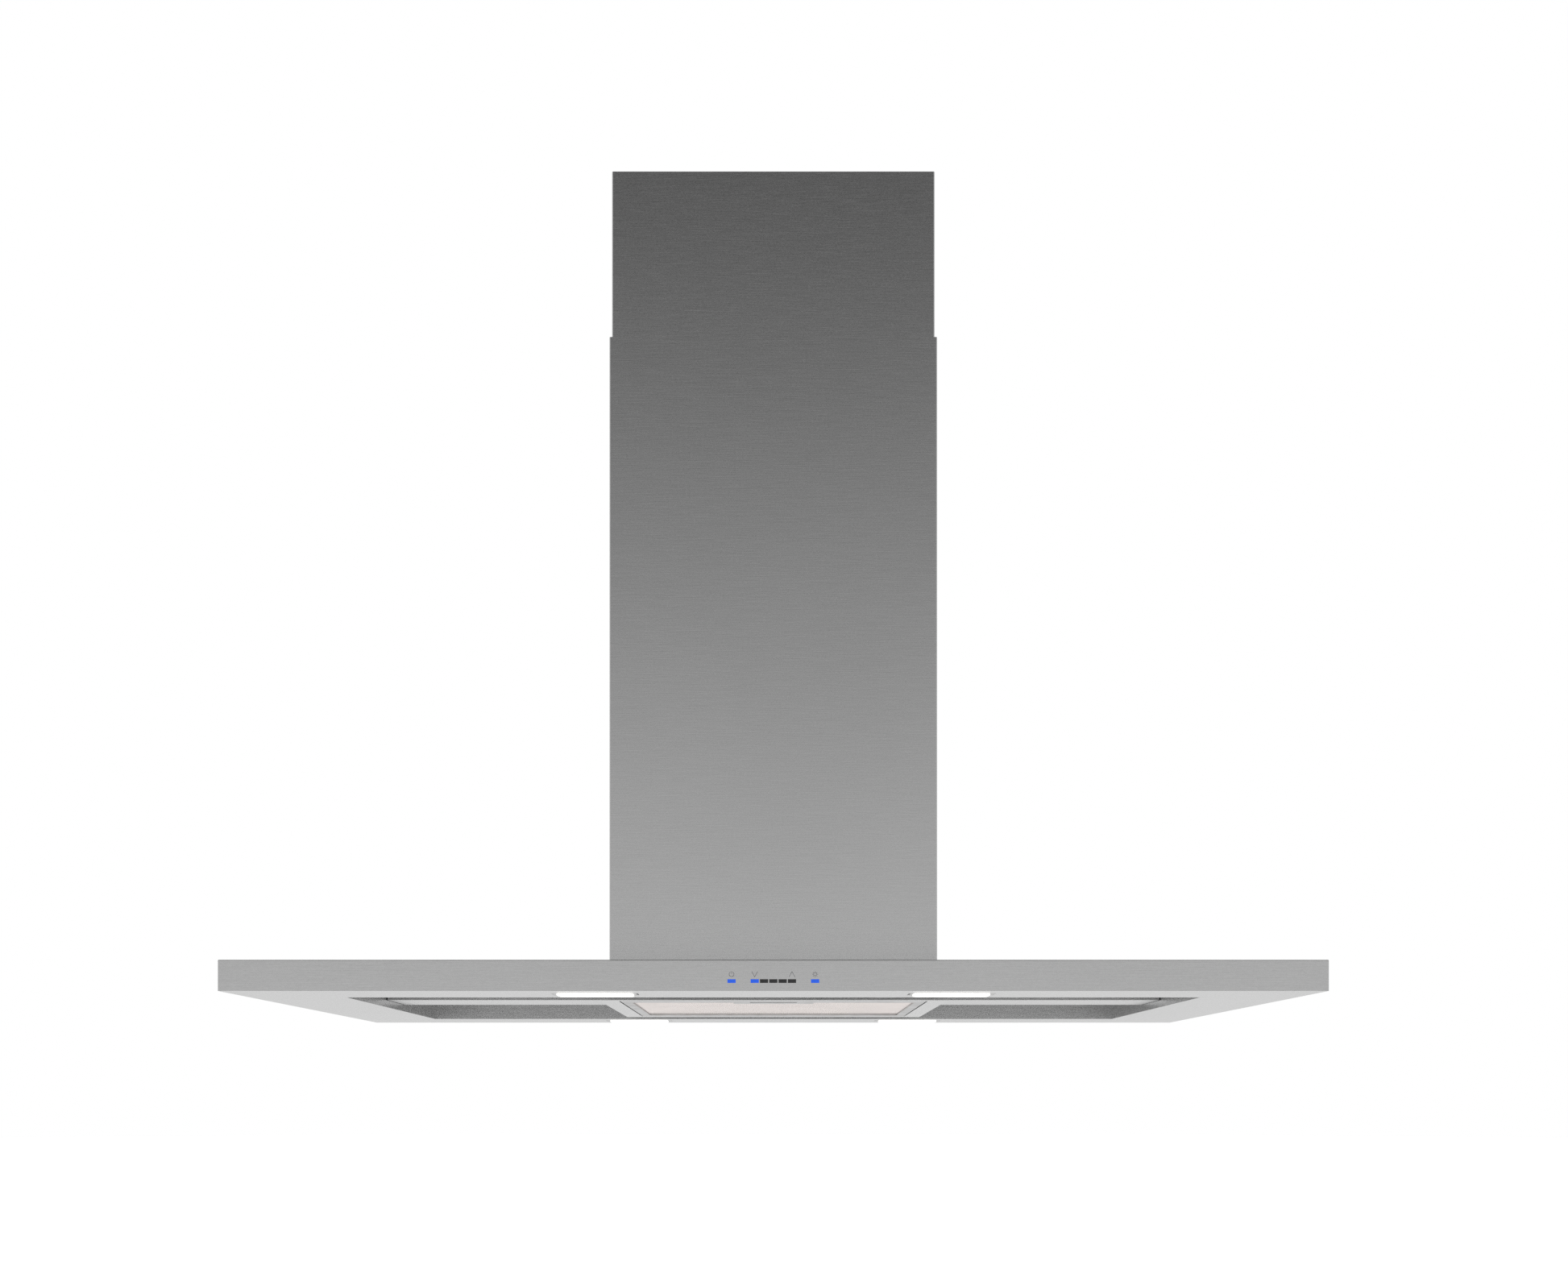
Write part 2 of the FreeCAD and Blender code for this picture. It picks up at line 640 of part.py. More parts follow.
def make_filter():
    """The frame, its mesh, the sliding latch in its front border, and the latch springs."""
    half_width = "filter_width / 2"
    half_depth = "filter_depth / 2"
    full = ("rim_plane", "rim_plane + filter_thick")
    blank = block("filter_blank", across(half_width), across(half_depth), full)
    pins = [rod("filter_pin", "hinge_pin_radius", "x",
                span(side, half_width, "carrier_hole_half_width + 3 * carrier_sheet / 2"),
                ("hinge_place", "rim_plane + hinge_inset"))
            for side in (-1, 1)]
    mesh_hole = block("mesh_hole", across("filter_width / 2 - filter_side"),
                      ("mesh_front", "0 - mesh_front"), full)
    tab = block("latch_tab", across("latch_tab_width / 2"), ("mesh_front", "mesh_front + latch_tab_depth"), full)
    cavity = block("latch_cavity", across("latch_width / 2 + latch_gap"),
                   ("latch_front - latch_gap", "cavity_rear"),
                   ("rim_plane + latch_skin", "tongue_top + latch_gap"))
    window = block("finger_hole", across("finger_width / 2"),
                   ("latch_front + latch_depth / 8", "latch_front + latch_depth / 8 + finger_depth"),
                   ("rim_plane - cut_past", "rim_plane + latch_skin + cut_sliver"))
    tongue_slot = block("tongue_slot", across("tongue_width / 2 + latch_gap"),
                        ("0 - filter_depth / 2 - 1", "latch_front"),
                        ("tongue_bottom - latch_gap", "tongue_top + latch_gap"))
    spring_bores = [rod("spring_bore_tool", "spring_bore", "y",
                        ("latch_rear", "latch_rear + spring_length + post_gap"),
                        (f"{side} * spring_offset", "spring_level"))
                    for side in (-1, 1)]
    ring = fused("filter_ring", cut("filter_border", blank, mesh_hole), tab, *pins)
    node("filter_frame", cut("filter_frame_piece", ring, cavity, window, tongue_slot, *spring_bores))

    height = ("rim_plane + mesh_inset", "rim_plane + filter_thick - mesh_inset")
    mesh = block("mesh_blank", across("filter_width / 2 - filter_side - mesh_gap"),
                 ("mesh_front + mesh_gap", "0 - mesh_front - mesh_gap"), height)
    notch = block("mesh_notch", across("latch_tab_width / 2 + mesh_gap"),
                  ("mesh_front", "mesh_front + latch_tab_depth + mesh_gap"), height)
    node("filter_mesh", cut("filter_mesh_piece", mesh, notch))

    slider = block("latch_slider", across("latch_width / 2"), ("latch_front", "latch_rear"),
                   ("rim_plane + latch_inset", "tongue_top"))
    tongue = block("latch_tongue", across("tongue_width / 2"),
                   ("0 - carrier_hole_half_depth + tongue_short", "latch_front"),
                   ("tongue_bottom", "tongue_top"))
    grip = block("latch_grip", across("finger_width / 2 - 2"),
                 ("latch_front + latch_depth / 4", "latch_front + latch_depth / 4 + grip_depth"),
                 ("rim_plane + latch_inset / 4", "rim_plane + latch_inset"))
    node("filter_latch", fused("filter_latch_piece", slider, tongue, grip))

    node("latch_springs", group("latch_spring_set", *[make_spring(side) for side in (-1, 1)]))


def make_spring(side):
    """A compression spring along Y, from the latch's rear edge into its bore."""
    middle = f"{side} * spring_offset"
    low = "latch_rear + spring_wire / 2 + running_gap"
    helix = doc.addObject("Part::Helix", "spring_line")
    helix.setExpression("Pitch", bound("spring_pitch"))
    helix.setExpression("Height", bound("spring_length - spring_wire"))
    helix.setExpression("Radius", bound("spring_radius"))
    helix.Placement = FreeCAD.Placement(FreeCAD.Vector(), TURNS["y"])
    place(helix, middle, low, "spring_level")
    wire = doc.addObject("Part::Circle", "spring_section")
    wire.setExpression("Radius", bound("spring_wire / 2"))
    place(wire, f"{middle} + spring_radius", low, "spring_level")
    doc.recompute()
    coil = doc.addObject("Part::Sweep", "spring_coil")
    coil.Sections = [wire]
    coil.Spine = (helix, [f"Edge{number + 1}" for number in range(len(helix.Shape.Edges))])
    coil.Solid = True
    coil.Frenet = True
    return coil


# ---------------------------------------------------------------- chimney covers

def make_cover(name, width, depth, low, height):
    """A folded sheet tube with rounded upright corners."""
    body = new_body(name)
    outline = new_sketch(body, "XY_Plane", low)
    draw_rectangle(outline, across(f"({width}) / 2"), across(f"({depth}) / 2"))
    blank = pad(body, outline, height)
    round_edges(body, blank, "cover_corner")
    hollow = new_sketch(body, "XY_Plane", low)
    draw_rectangle(hollow, across(f"({width}) / 2 - cover_sheet"), across(f"({depth}) / 2 - cover_sheet"))
    pocket(body, hollow, height, reverse=True)
    return body


def cover_screw_holes(radius, far):
    """Bars through the upper cover and the ceiling plate's flanges, one for each screw."""
    return [rod("cover_screw_bar", radius, "x",
                span(side, "plate_half_width - ceiling_flange_sheet - cut_sliver", far),
                (f"{end} * cover_screw_spacing / 2", "0 - cover_screw_drop"))
            for side in (-1, 1) for end in (-1, 1)]


def make_covers():
    node("lower_cover", make_cover("lower_cover", "cover_width", "cover_depth", "canopy_top",
                                   "lower_cover_height"))
    upper = make_cover("upper_cover_sheet", "upper_cover_width", "upper_cover_depth",
                       "0 - upper_cover_height", "upper_cover_height")
    holes = cover_screw_holes("cover_screw_radius + bolt_gap", "upper_cover_width / 2 + 1")
    node("upper_cover", cut("upper_cover_piece", upper, *holes))
    shanks = cover_screw_holes("cover_screw_radius", "upper_cover_width / 2")
    screws = []
    for number, shank in enumerate(shanks):
        side = -1 if number < 2 else 1
        end = -1 if number % 2 == 0 else 1
        head = rod("cover_screw_head", "cover_screw_head_radius", "x",
                   span(side, "upper_cover_width / 2", "upper_cover_width / 2 + cover_screw_head"),
                   (f"{end} * cover_screw_spacing / 2", "0 - cover_screw_drop"))
        screws.append(fused("cover_screw", shank, head))
    node("upper_cover_screws", group("cover_screw_set", *screws))


# ---------------------------------------------------------------- hanging frame

CORNERS = {"front_left": (-1, -1), "front_right": (1, -1), "rear_left": (-1, 1), "rear_right": (1, 1)}


def make_post(name, corner, half_width, half_depth, low, height, foot_low):
    """An angle profile at a corner of the frame, with a tab across one end for its bolt."""
    side_x, side_y = corner
    body = new_body(name)
    profile = new_sketch(body, "XY_Plane", low)
    steps = [("0", "0"), ("post_leg", "0"), ("post_leg", "post_sheet"), ("post_sheet", "post_sheet"),
             ("post_sheet", "post_leg"), ("0", "post_leg")]
    draw_polygon(profile, [(f"{side_x} * ({half_width} - {x})", f"{side_y} * ({half_depth} - {y})")
                           for x, y in steps])
    pad(body, profile, height)
    tab = new_sketch(body, "XY_Plane", foot_low)
    draw_rectangle(tab, span(side_x, f"{half_width} - post_sheet - foot_width", f"{half_width} - post_sheet / 2"),
                   span(side_y, f"{half_depth} - post_sheet - foot_depth", f"{half_depth} - post_sheet / 2"))
    pad(body, tab, "post_sheet")
    return body


def make_frame():
    """Four angle posts hang from the ceiling plate, and the hood's four posts slide over them."""
    bolts = []
    top_screws = []
    for name, (side_x, side_y) in CORNERS.items():
        slot_x = f"{side_x} * slot_middle"
        leg_ends = span(side_y, "nested_half_depth - 2 * post_sheet", "frame_half_depth + 1")
        inner_x = f"{side_x} * (nested_half_width - post_sheet - foot_width / 2)"
        inner_y = f"{side_y} * (nested_half_depth - post_sheet - foot_depth / 2)"

        upper_low = "0 - ceiling_plate_thick - upper_post_length"
        upper = make_post(name + "_upper", (side_x, side_y), "nested_half_width", "nested_half_depth",
                          upper_low, "upper_post_length", "0 - ceiling_plate_thick - post_sheet")
        slot_ends = ("height_bolt_level - slot_down", "height_bolt_level + slot_up")
        slot = block("height_slot", across("bolt_radius + bolt_gap", slot_x), leg_ends, slot_ends)
        slot_rounds = [rod("slot_end", "bolt_radius + bolt_gap", "y", leg_ends, (slot_x, level))
                       for level in slot_ends]
        top_hole = rod("top_hole", "bolt_radius + bolt_gap", "z",
                       ("0 - ceiling_plate_thick - 2 * post_sheet", "0"), (inner_x, inner_y))
        node("upper_post_" + name, cut("upper_post", upper, slot, *slot_rounds, top_hole))

        lower = make_post(name + "_lower", (side_x, side_y), "frame_half_width", "frame_half_depth",
                          "canopy_top", "lower_post_height", "canopy_top")
        side_hole = rod("side_hole", "bolt_radius + bolt_gap", "y", leg_ends, (slot_x, "height_bolt_level"))
        foot_x = f"{side_x} * foot_bolt_across"
        foot_y = f"{side_y} * foot_bolt_along"
        foot_hole = rod("foot_hole", "bolt_radius + bolt_gap", "z", ("canopy_top", "canopy_top + 2 * post_sheet"),
                        (foot_x, foot_y))
        node("lower_post_" + name, cut("lower_post", lower, side_hole, foot_hole))

        head_face = "nested_half_depth - post_sheet - post_gap"
        bolts.append(fused("height_bolt",
                           rod("height_shank", "bolt_radius", "y", span(side_y, head_face, "frame_half_depth"),
                               (slot_x, "height_bolt_level")),
                           rod("height_head", "bolt_head_radius", "y",
                               span(side_y, f"{head_face} - bolt_head", head_face),
                               (slot_x, "height_bolt_level"))))
        tab_top = "canopy_top + post_sheet"
        bolts.append(fused("foot_bolt",
                           rod("foot_shank", "bolt_radius", "z", ("roof - 5", tab_top), (foot_x, foot_y)),
                           rod("foot_head", "bolt_head_radius", "z", (tab_top, f"{tab_top} + bolt_head"),
                               (foot_x, foot_y))))
        nut = doc.addObject("Part::Prism", "nut_blank")
        nut.Polygon = 6
        nut.setExpression("Circumradius", bound("bolt_head_radius"))
        nut.setExpression("Height", bound("bolt_head + 1"))
        place(nut, foot_x, foot_y, "roof - bolt_head - 1")
        bolts.append(cut("foot_nut", nut, rod("nut_bore", "bolt_radius + running_gap", "z",
                                              ("roof - bolt_head - 2", "roof"), (foot_x, foot_y))))
        tab_face = "0 - ceiling_plate_thick - post_sheet"
        top_screws.append(fused("top_screw",
                                rod("top_shank", "bolt_radius", "z", (tab_face, "0 - post_gap"),
                                    (inner_x, inner_y)),
                                rod("top_head", "bolt_head_radius", "z", (f"{tab_face} - bolt_head", tab_face),
                                    (inner_x, inner_y))))
    node("frame_bolts", group("frame_bolt_set", *bolts))
    node("upper_post_screws", group("top_screw_set", *top_screws))
    node("upper_frame_band", ring_block("upper_band", "nested_half_width - post_sheet",
                                        "nested_half_depth - post_sheet", "post_sheet",
                                        ("0 - upper_band_drop - frame_band", "0 - upper_band_drop")))
    node("lower_frame_band", ring_block("lower_band", "frame_half_width - post_sheet",
                                        "frame_half_depth - post_sheet", "post_sheet",
                                        ("canopy_top + lower_band_rise",
                                         "canopy_top + lower_band_rise + frame_band")))


def make_ceiling_plate():
    """The plate against the ceiling, with a hole for the duct and a flange down each side."""
    plate = block("ceiling_sheet", across("plate_half_width"), across("plate_half_depth"),
                  ("0 - ceiling_plate_thick", "0"))
    flanges = [block("ceiling_flange_strip", span(side, "plate_half_width - ceiling_flange_sheet",
                                                  "plate_half_width"),
                     across("cover_screw_spacing / 2 + screw_pad"), ("0 - ceiling_flange", "0"))
               for side in (-1, 1)]
    duct = rod("duct_hole", "duct_hole_radius", "z", ("0 - ceiling_plate_thick - 1", "1"), ("0", "0"))
    holes = cover_screw_holes("cover_screw_radius + bolt_gap", "upper_cover_width / 2")
    for side_x, side_y in CORNERS.values():
        inner_x = f"{side_x} * (nested_half_width - post_sheet - foot_width / 2)"
        inner_y = f"{side_y} * (nested_half_depth - post_sheet - foot_depth / 2)"
        holes.append(rod("post_screw_hole", "bolt_radius + bolt_gap", "z", ("0 - ceiling_plate_thick", "0"),
                         (inner_x, inner_y)))
        holes.append(rod("ceiling_hole", "ceiling_bolt_radius", "z", ("0 - ceiling_plate_thick", "0"),
                         (f"{side_x} * ceiling_bolt_spacing_x / 2", f"{side_y} * ceiling_bolt_spacing_y / 2")))
    node("ceiling_plate", cut("ceiling_plate_piece", fused("ceiling_blank", plate, *flanges), duct, *holes))


# ---------------------------------------------------------------- blower

def make_blower_box():
    """The sheet box over the air hole, open below, with a flange on the canopy."""
    flange = ("canopy_top", "canopy_top + box_sheet")
    blank = fused("box_blank",
                  block("box_outside", across("box_width / 2"), across("box_depth / 2"), ("canopy_top", "box_top")),
                  block("side_flanges", across("box_width / 2 + box_flange"),
                        across("box_depth / 2 - foot_depth"), flange),
                  block("end_flanges", across("box_width / 2 - foot_width"),
                        across("box_depth / 2 + box_flange"), flange))
    hollow = block("box_inside", across("box_width / 2 - box_sheet"), across("box_depth / 2 - box_sheet"),
                   ("canopy_top", "box_top - box_sheet"))
    outlet = rod("box_outlet", "collar_bore", "z", ("box_top - box_sheet - 1", "box_top + 1"), ("0", "0"))
    node("blower_box", cut("box_piece", blank, hollow, outlet))


def quarter(name, radius, turn, x, middle):
    """A quarter of a round bar along X. turn is how far it is rolled about X, in degrees."""
    wedge = doc.addObject("Part::Cylinder", name)
    wedge.Angle = 90
    wedge.setExpression("Radius", bound(radius))
    wedge.setExpression("Height", bound(f"({x[1]}) - ({x[0]})"))
    roll = FreeCAD.Rotation(FreeCAD.Vector(1, 0, 0), turn)
    wedge.Placement = FreeCAD.Placement(FreeCAD.Vector(), roll.multiply(TURNS["x"]))
    return place(wedge, x[0], *middle)


def scroll_outline(name, x, wall, top):
    """The scroll's shape, widened by a wall: three quarters of growing radius and a straight neck."""
    half = "scroll_step / 2"
    right, left = f"fan_offset + {half}", f"fan_offset - {half}"
    low, high = f"fan_level - {half}", f"fan_level + {half}"
    return fused(name,
                 quarter(name + "_upper", f"scroll_start + {wall}", 90, x, (right, low)),
                 quarter(name + "_lower", f"scroll_start + scroll_step + {wall}", 0, x, (left, low)),
                 quarter(name + "_rear", f"scroll_start + 2 * scroll_step + {wall}", -90, x, (left, high)),
                 block(name + "_core", x, (left, right), (low, high)),
                 block(name + "_neck", x, (f"fan_offset - scroll_reach - {wall}", f"{right} + {wall}"),
                       (high, top)))


def make_scroll():
    """The snail-shaped blower case: a band round the fan and a side plate at each end."""
    band = scroll_outline("band_outside", across("scroll_width / 2"), "scroll_wall", "neck_top")
    inside = scroll_outline("band_inside", across("scroll_width / 2 + 1"), "0", "neck_top + 1")
    node("scroll_band", cut("scroll_band_piece", band, inside))
    for label, side in (("left", -1), ("right", 1)):
        x = span(side, "scroll_width / 2", "scroll_width / 2 + scroll_wall")
        lip_x = span(side, "scroll_width / 2", "scroll_width / 2 + scroll_wall + inlet_lip")
        middle = ("fan_offset", "fan_level")
        plate = scroll_outline(f"side_{label}", x, "scroll_wall", "neck_top")
        lip = rod(f"inlet_lip_{label}", "inlet_radius + scroll_wall", "x", lip_x, middle)
        hole = rod(f"inlet_hole_{label}", "inlet_radius", "x",
                   span(side, "scroll_width / 2 - 1", "scroll_width / 2 + scroll_wall + inlet_lip + 1"), middle)
        node(f"scroll_side_{label}", cut(f"scroll_side_{label}_piece", fused(f"side_{label}_blank", plate, lip),
                                         hole))


def make_outlet_funnel():
    """The passage from the scroll's neck to the round outlet."""
    body = new_body("outlet_funnel")
    sections = []
    for wall in ("0", "scroll_wall"):
        neck = new_sketch(body, "XY_Plane", "neck_top")
        draw_rectangle(neck, across(f"scroll_width / 2 + scroll_wall - {wall}"),
                       (f"fan_offset - scroll_reach - scroll_wall + {wall}",
                        f"fan_offset + scroll_step / 2 + scroll_wall - {wall}"))
        mouth = new_sketch(body, "XY_Plane", "box_top - box_sheet")
        draw_rectangle(mouth, across(f"funnel_top / 2 - {wall}"), across(f"funnel_top / 2 - {wall}"))
        sections.append((neck, mouth))
    for kind, (neck, mouth) in zip(("PartDesign::AdditiveLoft", "PartDesign::SubtractiveLoft"), sections):
        loft = body.newObject(kind, "funnel_loft")
        loft.Profile = neck
        loft.Sections = [mouth]
        loft.Ruled = True
        doc.recompute()
    node("outlet_funnel", body)


def revolved(name, axis_role, plane_role, corners):
    """A body turned from an outline about one of its origin axes."""
    body = new_body(name)
    outline = new_sketch(body, plane_role)
    draw_polygon(outline, corners)
    turning = body.newObject("PartDesign::Revolution", name + "_turning")
    turning.Profile = outline
    turning.ReferenceAxis = (origin_of(body, axis_role), [""])
    turning.Angle = 360
    return body


def make_motor():
    """The motor inside the fan's left half, the clamp that holds it, and its shaft."""
    front = "0 - motor_start"
    rear = "0 - motor_start - motor_length"
    bore = "shaft_radius + running_gap"
    motor = revolved("motor", "X_Axis", "XY_Plane",
                     [(rear, "motor_radius - 10"), (f"{rear} + 4", "motor_radius - 2"),
                      (f"{rear} + 8", "motor_radius"), (f"{front} - 8", "motor_radius"),
                      (f"{front} - 2", "motor_radius - 6"), (front, "hub_radius + 4"),
                      (f"{front} + 3", "hub_radius + 4"), (f"{front} + 3", bore),
                      (f"{front} - motor_length / 2", bore), (f"{front} - motor_length / 2", "0"),
                      (rear, "0")])
    node("motor", place(motor, "0", "fan_offset", "fan_level"))

    bracket = new_body("motor_bracket")
    clamp = new_sketch(bracket, "YZ_Plane", "0 - scroll_width / 2 - scroll_wall - inlet_lip - 4 * bracket_thick")
    draw_circle(clamp, "motor_radius + 2 * bracket_thick")
    draw_circle(clamp, "motor_radius + running_gap")
    pad(bracket, clamp, "4 * bracket_thick")
    arm = new_sketch(bracket, "YZ_Plane", "0 - scroll_width / 2 - scroll_wall - inlet_lip - bracket_thick")
    draw_rectangle(arm, across("bracket_arm_width / 2"), ("motor_radius + bracket_thick", "inlet_radius + 7"))
    arm_pad = pad(bracket, arm, "bracket_thick")
    turned_copies(bracket, arm_pad, "3")
    node("motor_bracket", place(bracket, "0", "fan_offset", "fan_level"))

    shaft = revolved("motor_shaft", "X_Axis", "XY_Plane",
                     [(f"{front} - motor_length / 2 + 1", "0"), (f"{front} - motor_length / 2 + 1", "shaft_radius"),
                      ("hub_radius + 1", "shaft_radius"), ("hub_radius + 2", "shaft_radius - 1"),
                      ("hub_radius + 2", "0")])
    node("motor_shaft", place(shaft, "0", "fan_offset", "fan_level"))


def turned_copies(body, feature, count):
    """Repeats a feature evenly about the body's X axis."""
    doc.recompute()
    pattern = body.newObject("PartDesign::PolarPattern", body.Name + "_pattern")
    pattern.Originals = [feature]
    pattern.Axis = (origin_of(body, "X_Axis"), [""])
    pattern.Angle = 360
    pattern.Occurrences = int(value(count))
    pattern.setExpression("Occurrences", bound(count))
    body.Tip = pattern
    doc.recompute()


def make_impeller():
    """A double-inlet fan: a middle disc, a ring at each end, and slanted blades between them."""
    body = new_body("impeller")
    disc = new_sketch(body, "YZ_Plane", "0 - fan_disc_thick / 2")
    draw_circle(disc, "fan_radius")
    draw_circle(disc, "shaft_radius + running_gap / 2")
    pad(body, disc, "fan_disc_thick")
    hub = new_sketch(body, "YZ_Plane", "0 - 2 * fan_disc_thick")
    draw_circle(hub, "hub_radius")
    draw_circle(hub, "shaft_radius + running_gap / 2")
    pad(body, hub, "2 * fan_disc_thick + hub_radius")
    for side in (-1, 1):
        ring = new_sketch(body, "YZ_Plane", f"{side} * (fan_width / 2 - fan_disc_thick / 2) - fan_disc_thick / 2")
        draw_circle(ring, "fan_radius")
        draw_circle(ring, "fan_radius - fan_blade_depth / 3")
        pad(body, ring, "fan_disc_thick")
    blade = new_sketch(body, "YZ_Plane")
    root, tip = "fan_radius - fan_blade_depth", "fan_radius - 1"
    draw_polygon(blade, [(root, "0 - fan_blade_thick / 2"), (tip, "fan_blade_depth / 3"),
                         (tip, "fan_blade_depth / 3 + fan_blade_thick"), (root, "fan_blade_thick / 2")])
    blade_pad = pad(body, blade, "fan_width", both_ways=True)
    turned_copies(body, blade_pad, "fan_blades")
    node("impeller", place(body, "0", "fan_offset", "fan_level"))


# ---------------------------------------------------------------- outlet

def make_outlet():
    """The round collar, two pins across it, and a half-round flap hinged on each."""
    ledge_top = "flap_rise - flap_gap"
    ledge_bottom = "flap_rise - flap_gap - collar_sheet"
    collar = revolved("collar_tube", "Z_Axis", "XZ_Plane",
                      [("collar_bore", "0"), ("collar_radius + collar_flange", "0"),
                       ("collar_radius + collar_flange", "collar_sheet"), ("collar_radius", "collar_sheet"),
                       ("collar_radius", "collar_height"), ("collar_bore", "collar_height"),
                       ("collar_bore", ledge_top), ("collar_bore - collar_ledge", ledge_top),
                       ("collar_bore - collar_ledge", ledge_bottom), ("collar_bore", ledge_bottom)])
    place(collar, "0", "0", "box_top")
    level = "flap_level + flap_thick / 2"
    holes = [rod("flap_pin_hole", "flap_pin_radius + running_gap", "y", across("collar_radius + 1"),
                 (f"{side} * flap_pin_offset", level)) for side in (-1, 1)]
    node("outlet_collar", cut("collar_piece", collar, *holes))
    pins = [rod("flap_pin", "flap_pin_radius", "y", across("collar_radius - pin_seat"),
                (f"{side} * flap_pin_offset", level)) for side in (-1, 1)]
    node("damper_pins", group("flap_pin_set", *pins))
    for label, side in (("left", -1), ("right", 1)):
        disc = rod(f"flap_disc_{label}", "collar_bore - flap_gap", "z", ("flap_level", "flap_level + flap_thick"),
                   ("0", "0"))
        half = block(f"flap_half_{label}", span(side, "flap_pin_offset", "collar_radius"),
                     across("collar_radius"), ("flap_level", "flap_level + flap_thick"))
        plate = doc.addObject("Part::Common", f"flap_plate_{label}")
        plate.Base = disc
        plate.Tool = half
        pin_place = (f"{side} * flap_pin_offset", level)
        barrel = rod(f"flap_barrel_{label}", "flap_barrel_radius", "y", across("collar_bore - 4"), pin_place)
        bore = rod(f"flap_bore_{label}", "flap_pin_radius + running_gap", "y", across("collar_bore"), pin_place)
        node(f"damper_{label}", cut(f"damper_{label}_piece", fused(f"damper_{label}_blank", plate, barrel), bore))


# ---------------------------------------------------------------- electrics on top of the blower box

def make_electrics():
    sheet_in = "electronics_sheet"
    middle = "electronics_offset"
    x, y = across("electronics_width / 2", middle), across("electronics_length / 2")
    top = "box_top + electronics_height"
    tray = cut("electronics_tray_piece", block("tray_outside", x, y, ("box_top", top)),
               block("tray_inside", across(f"electronics_width / 2 - {sheet_in}", middle),
                     across(f"electronics_length / 2 - {sheet_in}"), (f"box_top + {sheet_in}", top)))
    node("electronics_box", tray)
    lid = cut("lid_piece",
              block("lid_outside", across(f"electronics_width / 2 + {sheet_in} + plate_gap", middle),
                    across(f"electronics_length / 2 + {sheet_in} + plate_gap"), (f"{top} - lid_skirt", f"{top} + {sheet_in}")),
              block("lid_inside", across("electronics_width / 2 + plate_gap", middle),
                    across("electronics_length / 2 + plate_gap"), (f"{top} - lid_skirt", top)),
              rod("gland_hole", "gland_radius - gland_shoulder + plate_gap", "z", (f"{top} - cut_past", f"{top} + 2 * cut_past"),
                  (middle, "electronics_length / 4")))
    node("electronics_lid", lid)
    gland = revolved("cable_gland", "Z_Axis", "XZ_Plane",
                     [("gland_bore", "0 - gland_radius"), ("gland_radius - 3", "0 - gland_radius"),
                      ("gland_radius - 3", sheet_in), ("gland_radius", sheet_in),
                      ("gland_radius", "gland_radius / 2"), ("gland_radius - 2", "gland_radius / 2 + 2"),
                      ("gland_radius - 2", "gland_height - 2"), ("gland_radius - 4", "gland_height"),
                      ("gland_bore", "gland_height")])
    node("cable_gland", place(gland, middle, "electronics_length / 4", top))
    level = "box_top + capacitor_radius + 1"
    can = rod("capacitor_can", "capacitor_radius", "y", across("capacitor_length / 2"), (f"0 - {middle}", level))
    saddle = block("capacitor_saddle", across("capacitor_radius - 4", f"0 - {middle}"),
                   across("capacitor_length / 4"), ("box_top", f"{level} - capacitor_radius / 2"))
    node("motor_capacitor", fused("capacitor_piece", can, saddle))


# ---------------------------------------------------------------- building and writing

make_ceiling_plate()
make_frame()
make_covers()
make_canopy_shell()
make_rim_panel()
make_filter_carrier()
make_rail("left_rail", -1)
make_rail("right_rail", 1)
for corner, (lamp_x, lamp_y) in LAMPS.items():
    make_lamp(corner, lamp_x, lamp_y)
make_lamp_boards()
make_controls()
make_filter()
make_blower_box()
make_scroll()
make_outlet_funnel()
make_motor()
make_impeller()
make_outlet()
make_electrics()
doc.recompute()

for item in doc.Objects:
    if "Invalid" in item.State or "Error" in item.State:
        raise RuntimeError(f"{item.Name} did not build: {item.State}")
for part in parts:
    if part.Shape.isNull() or not part.Shape.isValid():
        raise RuntimeError(f"{part.Label} has no valid shape")

os.makedirs("parts", exist_ok=True)
for part in parts:
    part.Shape.exportStep(f"parts/{part.Label}.step")
print(len(parts), "sub-parts written")
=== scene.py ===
import json
import math

import bmesh
import bpy
from mathutils import Matrix, Vector


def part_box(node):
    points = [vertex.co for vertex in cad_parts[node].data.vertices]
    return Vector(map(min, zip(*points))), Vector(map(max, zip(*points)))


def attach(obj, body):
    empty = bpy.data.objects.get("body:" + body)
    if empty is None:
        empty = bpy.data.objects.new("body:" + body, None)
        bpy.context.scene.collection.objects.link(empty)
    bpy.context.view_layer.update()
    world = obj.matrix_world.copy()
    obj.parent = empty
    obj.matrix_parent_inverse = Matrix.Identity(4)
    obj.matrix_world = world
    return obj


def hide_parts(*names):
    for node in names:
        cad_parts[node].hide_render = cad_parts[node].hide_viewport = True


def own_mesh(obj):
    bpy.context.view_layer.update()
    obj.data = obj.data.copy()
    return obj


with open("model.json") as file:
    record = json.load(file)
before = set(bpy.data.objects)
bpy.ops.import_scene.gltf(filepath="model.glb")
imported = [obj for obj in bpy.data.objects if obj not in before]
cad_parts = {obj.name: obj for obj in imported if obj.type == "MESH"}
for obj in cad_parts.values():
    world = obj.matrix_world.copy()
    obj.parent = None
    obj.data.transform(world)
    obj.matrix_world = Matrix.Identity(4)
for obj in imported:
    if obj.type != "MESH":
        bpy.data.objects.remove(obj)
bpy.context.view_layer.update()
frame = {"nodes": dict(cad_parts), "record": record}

MM = 0.001
CANOPY_LOW, CANOPY_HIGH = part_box("canopy_shell")
RIM = CANOPY_LOW.z
FRONT = CANOPY_LOW.y

# ---------------------------------------------------------------- node graphs written as sums


